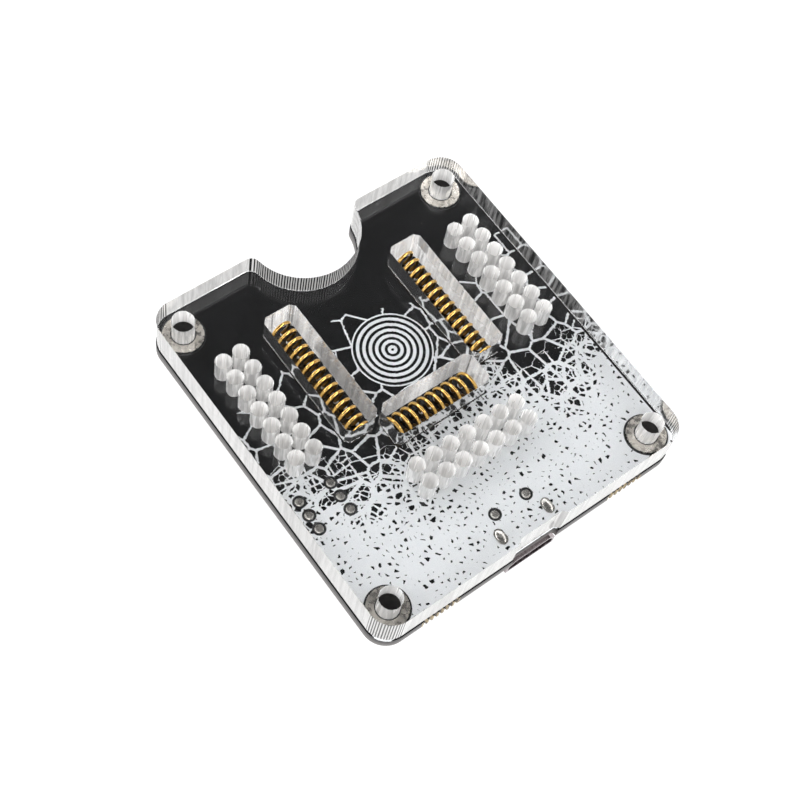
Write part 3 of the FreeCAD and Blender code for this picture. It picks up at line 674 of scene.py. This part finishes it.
def tube(path, radius, sides, across, end_share=1.0):
    """A round tube along a path with closed ends, which may be narrower. Across is never along the path."""
    points, faces = [], []
    count = len(path)
    for k, centre in enumerate(path):
        ahead = (path[min(k + 1, count - 1)] - path[max(k - 1, 0)]).normalized()
        side = ahead.cross(across).normalized()
        up = side.cross(ahead)
        size = radius * (end_share if k in (0, count - 1) else 1.0)
        for n in range(sides):
            a = 2 * math.pi * n / sides
            points.append(centre + side * (size * math.cos(a)) + up * (size * math.sin(a)))
    for k in range(count - 1):
        for n in range(sides):
            m = (n + 1) % sides
            faces.append((k * sides + n, k * sides + m, (k + 1) * sides + m, (k + 1) * sides + n))
    faces.append(tuple(range(sides - 1, -1, -1)))
    faces.append(tuple((count - 1) * sides + n for n in range(sides)))
    return points, faces


def contact_places():
    """Name and middle of each contact, and whether its row runs along y."""
    places = []
    for side, count in ROWS.items():
        for number in range(count):
            along = (number - (count - 1) / 2) * CONTACT_PITCH
            name = "%s_%02d" % (side, number + 1)
            if side == "front":
                places.append((name, Vector((along, FRONT_ROW_Y, 0)), False))
            else:
                x = -SIDE_ROW_X if side == "left" else SIDE_ROW_X
                places.append((name, Vector((x, SIDE_ROW_Y + along, 0)), True))
    return places


def build_contacts(gold):
    """Every spring contact as its own piece."""
    path = turn_path()
    draw = random.Random(7)
    for name, middle, along_y in contact_places():
        bend = draw.uniform(-0.05, 0.05) * MM
        bent = [p + Vector((0, bend * (p.z / (3 * MM)), 0)) for p in path]
        points, faces = tube(bent, CONTACT_WIRE / 2, 14, Vector((0, 1, 0)), end_share=0.8)
        place = Matrix.Translation(middle + Vector((0, 0, LAND_TOP)))
        if not along_y:
            place = place @ Matrix.Rotation(-math.pi / 2, 4, "Z")
        turn = new_mesh("turn_" + name, [place @ p for p in points], faces, gold)
        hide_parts("contact_" + name)
        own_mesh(turn)


def dome(points, faces, centre, size, seed, rows=5, sides=14):
    """Adds an uneven solder dome to a growing mesh."""
    first = len(points)
    for row in range(rows):
        rise = math.pi / 2 * row / rows
        for n in range(sides):
            a = 2 * math.pi * n / sides
            wobble = 1 + 0.16 * noise.noise(Vector((math.cos(a), math.sin(a), seed)))
            ring = math.cos(rise) * wobble
            across = (size.x * ring * math.cos(a), size.y * ring * math.sin(a))
            points.append(centre + Vector((*across, size.z * math.sin(rise))))
    points.append(centre + Vector((0, 0, size.z)))
    top = len(points) - 1
    for row in range(rows - 1):
        for n in range(sides):
            m = (n + 1) % sides
            low, high = first + row * sides, first + (row + 1) * sides
            faces.append((low + n, low + m, high + m, high + n))
    last = first + (rows - 1) * sides
    for n in range(sides):
        faces.append((last + n, last + (n + 1) % sides, top))
    faces.append(tuple(first + n for n in range(sides - 1, -1, -1)))


def build_foot_solder(solder):
    """Bright solder where the feet of the contacts meet their lands."""
    points, faces = [], []
    draw = random.Random(11)
    for _, middle, along_y in contact_places():
        for side in (-1, 1):
            wide = draw.uniform(0.28, 0.46) * MM
            long = draw.uniform(0.2, 0.32) * MM
            along, across = side * CONTACT_FOOT_SHIFT * 0.8, side * draw.uniform(0.45, 1.1) * MM
            size = Vector((wide, long, draw.uniform(0.2, 0.36) * MM))
            shift = Vector((across, along, 0))
            if not along_y:
                size = Vector((long, wide, size.z))
                shift = Vector((along, -across, 0))
            shift.z = LAND_TOP - 0.02 * MM
            dome(points, faces, middle + shift, size, draw.uniform(0, 50))
    new_mesh("contact_solder", points, faces, solder)


def build_tab_solder(tin):
    """Domes of solder on the two tabs of the USB socket."""
    points, faces = [], []
    for side in (-1, 1):
        place = Vector((side * USB_TAB_PLACE.x, USB_TAB_PLACE.y, BOARD_TOP))
        dome(points, faces, place, USB_TAB_DOME, 3.0 + side, rows=6, sides=28)
    new_mesh("tab_solder", points, faces, tin)


def ring_mesh(points, faces, centre, radii, sides=48):
    """Adds a thin flat ring just above the board to a growing mesh."""
    first = len(points)
    inner, outer = radii
    level = BOARD_TOP + RING_LIFT
    top = level + RING_THICKNESS
    for radius, height in ((inner, level), (outer, level), (outer, top), (inner, top)):
        for n in range(sides):
            x, y = on_circle(centre, radius, 2 * math.pi * n / sides)
            points.append(Vector((x, y, height)))
    for edge in range(4):
        for n in range(sides):
            m = (n + 1) % sides
            low, high = first + edge * sides, first + ((edge + 1) % 4) * sides
            faces.append((low + n, low + m, high + m, high + n))


def small_joint_points():
    """The solder points of the switch and the pegs of the USB socket, from the frame."""
    low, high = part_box("switch_pins")
    xs = (low.x + SWITCH_PIN_THICKNESS / 2, high.x - SWITCH_PIN_THICKNESS / 2)
    middle_y = (low.y + high.y) / 2
    pitch = (high.y - low.y - SWITCH_PIN_WIDTH) / 2
    points = [(x, middle_y + k * pitch) for x in xs for k in (-1, 0, 1)]
    return points + [(side * USB_PEG_X, PLATE_LOW.y + USB_PEG_SETBACK) for side in (-1, 1)]


def build_mask_rings(black):
    """Bare black mask round the soldered points and the corner rings."""
    points, faces = [], []
    for centre in small_joint_points():
        ring_mesh(points, faces, centre, SMALL_RING)
    for centre in fixing_points():
        ring_mesh(points, faces, centre, CORNER_RING)
    new_mesh("mask_rings", points, faces, black)


def paint_frame(tin):
    """Materials of the CAD pieces that stay in view."""
    black = plastic("header_plastic", (0.012, 0.012, 0.013), (0.02, 0.02, 0.021), 0.45)
    chip = plastic("chip_epoxy", (0.02, 0.02, 0.022), (0.035, 0.035, 0.036), 0.6)
    dark = metal("blackened_steel", (0.02, 0.02, 0.021), (0.045, 0.042, 0.04), 0.3, 0.5, 0.5 * MM, 0.01 * MM)
    steel = metal("plated_sheet", (0.32, 0.27, 0.28), (0.46, 0.41, 0.42), 0.18, 0.32, 0.8 * MM, 0.004 * MM)
    lands = board_tin()
    plated = metal("gold_plate", (0.56, 0.31, 0.07), (0.8, 0.52, 0.17), 0.2, 0.3, 0.4 * MM, 0.004 * MM)
    white = plastic("white_plunger", (0.72, 0.71, 0.68), (0.8, 0.79, 0.77), 0.4)
    tan = capped("capacitor_ends", "capacitors", (0.30, 0.19, 0.10), (0.42, 0.29, 0.17))
    film = capped("resistor_ends", "resistors", (0.015, 0.015, 0.016), (0.03, 0.03, 0.032))
    finishes = {
        "circuit_board": board_material(),
        "board_lands": lands,
        "solder_joints": tin,
        "header_contacts": tin,
        "switch_pins": tin,
        "chip_leads": tin,
        "board_screws": dark,
        "header_left": black,
        "header_right": black,
        "header_front": black,
        "switch_body": black,
        "usb_tongue": black,
        "switch_plunger": white,
        "usb_shell": steel,
        "usb_contacts": plated,
        "serial_chip": chip,
        "regulator": chip,
        "transistors": chip,
        "resistors": film,
        "capacitors": tan,
    }
    for node, material in finishes.items():
        paint(node, material)


def build_switch_spring(material):
    """The switch's return spring as a real helix."""
    low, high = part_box("switch_spring")
    middle = (low + high) / 2
    radius = (high.x - low.x) / 2 - SPRING_WIRE_RADIUS
    rise = high.z - low.z - 2 * SPRING_WIRE_RADIUS
    steps = 96
    path = []
    for k in range(steps + 1):
        share = k / steps
        x, y = on_circle(middle, radius, 2 * math.pi * SPRING_TURNS * share)
        path.append(Vector((x, y, low.z + SPRING_WIRE_RADIUS + rise * share)))
    points, faces = tube(path, SPRING_WIRE_RADIUS, 8, Vector((0, 0, 1)))
    spring = new_mesh("return_spring", points, faces, material)
    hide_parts("switch_spring")
    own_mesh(spring)


def build_floor():
    """A plain pale floor under the headers."""
    mesh = bpy.data.meshes.new("floor")
    corners = [(x * FLOOR_HALF, y * FLOOR_HALF, FLOOR_LEVEL) for x, y in ((-1, -1), (1, -1), (1, 1), (-1, 1))]
    mesh.from_pydata(corners, [], [(0, 1, 2, 3)])
    mesh.materials.append(white_floor())
    floor = bpy.data.objects.new("floor", mesh)
    bpy.context.collection.objects.link(floor)


def build_camera():
    """The camera at the photograph's place, with its slight roll."""
    data = bpy.data.cameras.new("camera")
    data.lens = CAMERA_LENS
    data.sensor_width = CAMERA_SENSOR
    data.clip_start = 0.005
    camera = bpy.data.objects.new("camera", data)
    back = -CAMERA_FORWARD.normalized()
    right = CAMERA_UP.cross(back).normalized()
    up = back.cross(right)
    turn = Matrix((right, up, back)).transposed().to_4x4()
    camera.matrix_world = Matrix.Translation(CAMERA_PLACE) @ turn
    bpy.context.collection.objects.link(camera)
    bpy.context.scene.camera = camera


def area_light(name, place, size, power):
    """A large soft lamp that faces the middle of the fixture."""
    data = bpy.data.lights.new(name, "AREA")
    data.shape = "RECTANGLE"
    data.size, data.size_y = size
    data.energy = power
    lamp = bpy.data.objects.new(name, data)
    lamp.location = place
    lamp.rotation_mode = "QUATERNION"
    lamp.rotation_quaternion = (Vector(place) - Vector((0, 0, PLATE_TOP))).to_track_quat("Z", "Y")
    bpy.context.collection.objects.link(lamp)


def multiply_add(tree, source, factor, added):
    """A node that multiplies a socket by a number and adds a number or another socket."""
    made = tree.nodes.new("ShaderNodeMath")
    made.operation = "MULTIPLY_ADD"
    tree.links.new(source, made.inputs[0])
    made.inputs[1].default_value = factor
    if isinstance(added, float):
        made.inputs[2].default_value = added
    else:
        tree.links.new(added, made.inputs[2])
    return made.outputs[0]


def build_tent():
    """A white tent with a broad ring of soft light and a dark middle overhead."""
    world = bpy.data.worlds.new("studio")
    world.use_nodes = True
    tree = world.node_tree
    ways = tree.nodes.new("ShaderNodeTexCoord")
    split = tree.nodes.new("ShaderNodeSeparateXYZ")
    ramp = tree.nodes.new("ShaderNodeValToRGB")
    background = tree.nodes["Background"]
    tree.links.new(ways.outputs["Generated"], split.inputs[0])
    tree.links.new(split.outputs[2], ramp.inputs[0])
    tree.links.new(ramp.outputs[0], background.inputs["Color"])
    for number, (place, tone) in enumerate(WORLD_RING):
        stop = ramp.color_ramp.elements[number] if number < 2 else ramp.color_ramp.elements.new(place)
        stop.position = place
        stop.color = (tone * 0.98, tone * 0.99, tone, 1.0)
    along_y = multiply_add(tree, split.outputs[1], WORLD_LEAN_Y * WORLD_STRENGTH, WORLD_STRENGTH)
    strength = multiply_add(tree, split.outputs[0], WORLD_LEAN_X * WORLD_STRENGTH, along_y)
    tree.links.new(strength, background.inputs["Strength"])
    bpy.context.scene.world = world


def build_light():
    """The tent, two weak lamps, and enough bounces for light to pass through the plate."""
    build_tent()
    area_light("key", (0.25, -0.30, 0.30), (0.35, 0.20), 1.2)
    area_light("fill", (-0.30, 0.35, 0.30), (0.30, 0.20), 0.8)
    scene = bpy.context.scene
    scene.view_settings.view_transform = "Standard"
    scene.cycles.max_bounces = 24
    scene.cycles.transmission_bounces = 20
    scene.cycles.glossy_bounces = 8
    scene.cycles.use_denoising = True


def plate_finishes():
    """The plate's materials, in the order of the finishes named above."""
    return [
        polished_acrylic(),
        # Painted light: each glow below is light that the wall gives off, and it is what makes the lit slot
        # walls brighter.
        cut_acrylic("sawn_acrylic", 0.6, 0.05, 0.2, 0.2, painted_glow=0.7, steps=0.25),
        cut_acrylic("slot_acrylic", 0.95, 0.02, 0.12, 0.96),
        cut_acrylic("frosted_acrylic", 0.35, 0.15, 0.35, 0.9, painted_glow=0.26, steps=0.3),
        cut_acrylic("stepped_acrylic", 0.6, 0.05, 0.2, 0.3, painted_glow=0.72, steps=1.0, curved=True),
        cut_acrylic("clear_edge", 0.9, 0.03, 0.15, 0.9, painted_glow=0.2, steps=1.0),
        cut_acrylic("lit_slot_acrylic", 0.85, 0.03, 0.15, 0.9, painted_glow=0.24, steps=0.35),
    ]


def main():
    """Builds the whole scene round the frame."""
    tin = metal("bright_tin", (0.56, 0.53, 0.49), (0.68, 0.66, 0.62), 0.2, 0.32, 1.6 * MM, 0.01 * MM)
    solder = metal("bright_solder", (0.82, 0.81, 0.79), (0.95, 0.94, 0.93), 0.35, 0.6, 0.3 * MM, 0.02 * MM)
    wire = metal("helix_wire", (0.5, 0.5, 0.5), (0.7, 0.7, 0.7), 0.2, 0.35, 0.3 * MM, 0.004 * MM)
    black = plastic("bare_mask", (0.010, 0.010, 0.011), (0.014, 0.014, 0.015), 0.3)
    build_camera()
    paint_frame(tin)
    build_plate(plate_finishes())
    build_contacts(gold_wire())
    build_foot_solder(solder)
    build_tab_solder(tin)
    build_mask_rings(black)
    build_switch_spring(wire)
    build_floor()
    build_light()


main()
